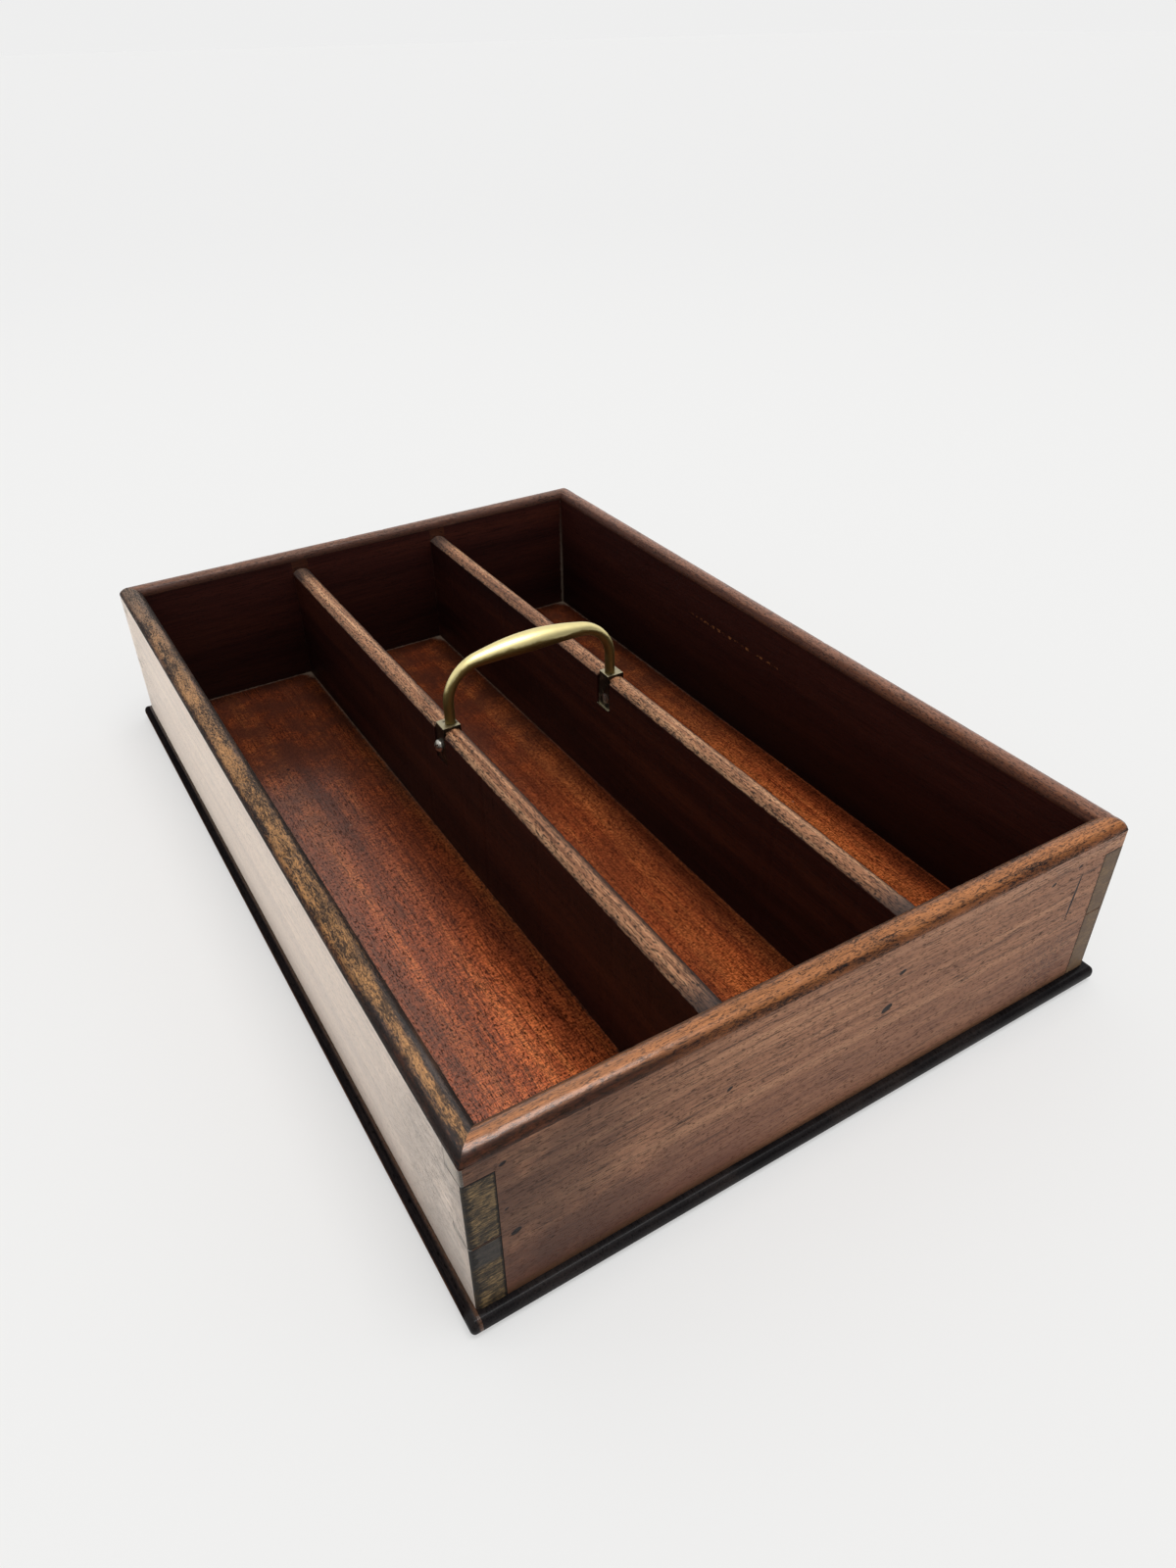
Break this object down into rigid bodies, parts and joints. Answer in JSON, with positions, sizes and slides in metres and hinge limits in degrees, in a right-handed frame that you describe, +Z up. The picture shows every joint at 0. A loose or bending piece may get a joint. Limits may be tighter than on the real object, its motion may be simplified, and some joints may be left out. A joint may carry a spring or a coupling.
{
  "type": "cutlery tray",
  "caption": "Open dovetailed wooden cutlery tray with a projecting base, bullnose rim, long compartments between rounded dividers, and a fixed brass bail handle.",
  "frame": {"origin": "centre of the underside of the base board, on the surface the tray stands on", "axes": "+X across the tray's width from the left side board to the right one, +Y along the dividers from the front end board to the back one, +Z up"},
  "size_m": [0.2612, 0.3882, 0.0981],
  "materials": {
    "floor_wood": "red-brown mahogany, worn wax polish, black-stained outer edge",
    "wall_wood": "aged grey-brown mahogany, old French polish, straw-coloured end grain",
    "rim_wood": "mahogany bullnose, worn to golden brown with black patches",
    "divider_wood": "dark mahogany faces with worn pinkish-tan crowns",
    "handle_brass": "hand-polished yellow brass, olive tarnish below",
    "saddle_brass": "dark tarnished brass with bright worn edges",
    "saddle_screw_steel": "dull grey steel with brown patina",
    "base_nail_iron": "dark rusted iron"
  },
  "bodies": {
    "root": {"base_board": "floor_wood", "side_left": "wall_wood", "side_right": "wall_wood", "end_front": "wall_wood", "end_back": "wall_wood", "rim_left": "rim_wood", "rim_right": "rim_wood", "rim_front": "rim_wood", "rim_back": "rim_wood", "divider_left": "divider_wood", "divider_right": "divider_wood", "plug_front_left": "divider_wood", "plug_front_right": "divider_wood", "plug_back_left": "divider_wood", "plug_back_right": "divider_wood", "handle_bail": "handle_brass", "saddle_left": "saddle_brass", "saddle_right": "saddle_brass", "saddle_screws_round": "saddle_screw_steel", "saddle_screws_flat": "saddle_screw_steel", "base_nails": "base_nail_iron"}
  },
  "joints": []
}
